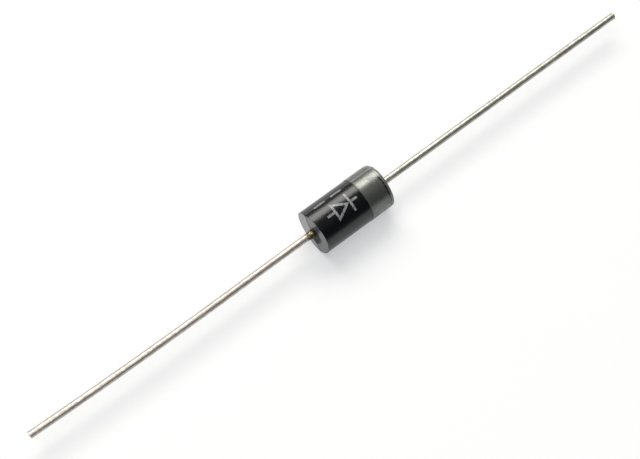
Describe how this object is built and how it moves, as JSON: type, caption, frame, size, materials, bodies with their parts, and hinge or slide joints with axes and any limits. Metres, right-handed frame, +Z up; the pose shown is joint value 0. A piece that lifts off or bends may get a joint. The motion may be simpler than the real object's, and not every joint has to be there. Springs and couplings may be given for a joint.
{
  "type": "axial-lead avalanche diode",
  "caption": "Axial-lead avalanche diode: black cylindrical moulded body with a printed silver cathode band and a straight tinned wire lead out of each end.",
  "frame": {"origin": "on the surface that the diode lies on, under the middle of its body", "axes": "+X along the leads from the anode to the banded cathode end, +Z up"},
  "size_m": [0.0616, 0.004, 0.004],
  "materials": {
    "black_epoxy": "moulded epoxy, glossy side, duller end faces",
    "silver_ink": "printed silver ink, satin",
    "tinned_wire": "tin-plated copper, drawn lengthwise",
    "solder": "reflowed solder",
    "silicon": "etched silicon",
    "silicone_resin": "cured soft silicone resin"
  },
  "bodies": {
    "root": {"moulded_body": "black_epoxy", "cathode_band": "silver_ink", "anode_lead": "tinned_wire", "cathode_lead": "tinned_wire", "anode_solder": "solder", "cathode_solder": "solder", "silicon_die": "silicon", "junction_bead": "silicone_resin"}
  },
  "joints": []
}
